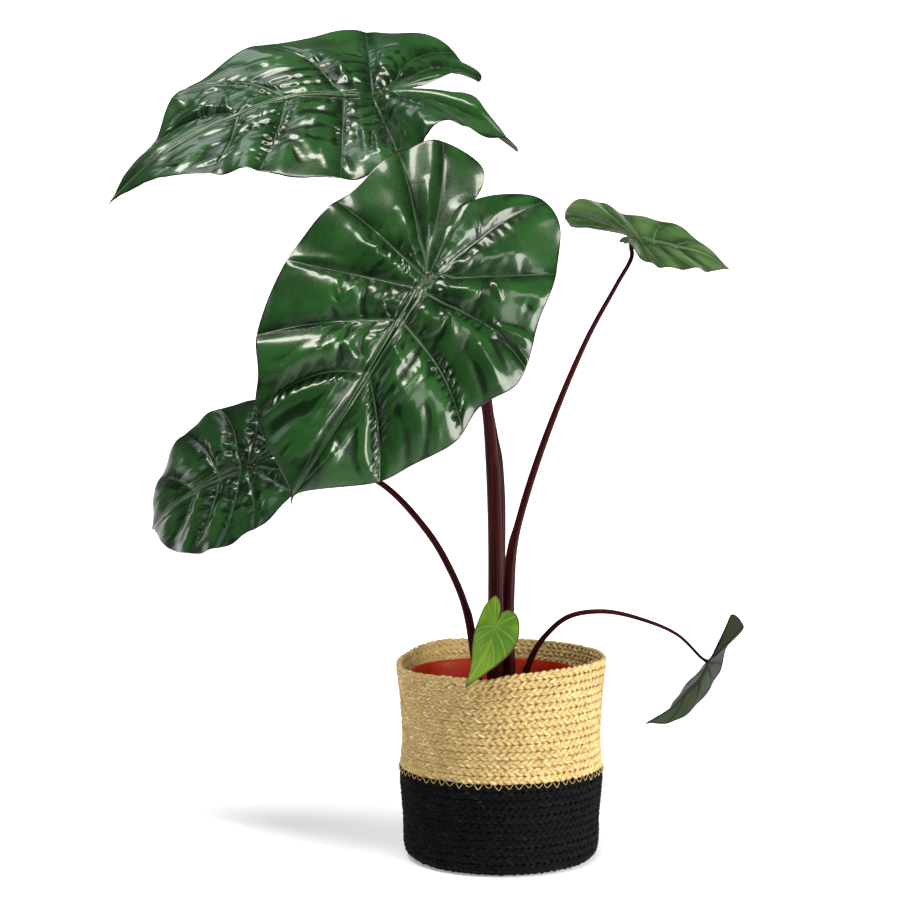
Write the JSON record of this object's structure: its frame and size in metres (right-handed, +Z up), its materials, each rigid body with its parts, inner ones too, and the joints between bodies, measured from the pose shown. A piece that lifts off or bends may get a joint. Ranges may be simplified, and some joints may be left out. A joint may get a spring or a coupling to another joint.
{
  "type": "potted alocasia plant",
  "caption": "Foliage plant with large glossy heart-shaped leaves on arching stems, in a nursery pot inside a two-tone braided jute basket.",
  "frame": {"origin": "centre of the basket's flat underside", "axes": "+Z up; -Y is the front, the side that the picture shows; +X to the viewer's right"},
  "size_m": [0.5711, 0.3784, 0.7645],
  "materials": {
    "jute_natural": "matt braided fibre",
    "jute_black": "matt braided fibre",
    "pot_plastic": "satin",
    "soil": "crumbly, matt",
    "stem": "smooth, satin",
    "leaf_dark": "waxy, high gloss",
    "leaf_mid": "waxy, gloss",
    "leaf_silver": "satin",
    "leaf_young": "satin"
  },
  "bodies": {
    "root": {"basket_natural": "jute_natural", "basket_black": "jute_black", "nursery_pot": "pot_plastic", "soil": "soil", "stem_top_left": "stem", "blade_top_left": "leaf_dark", "stem_centre": "stem", "blade_centre": "leaf_dark", "stem_low_left": "stem", "blade_low_left": "leaf_dark", "stem_top_right": "stem", "blade_top_right": "leaf_mid", "stem_low_right": "stem", "blade_low_right": "leaf_silver", "stem_young": "stem", "blade_young": "leaf_young"}
  },
  "joints": []
}
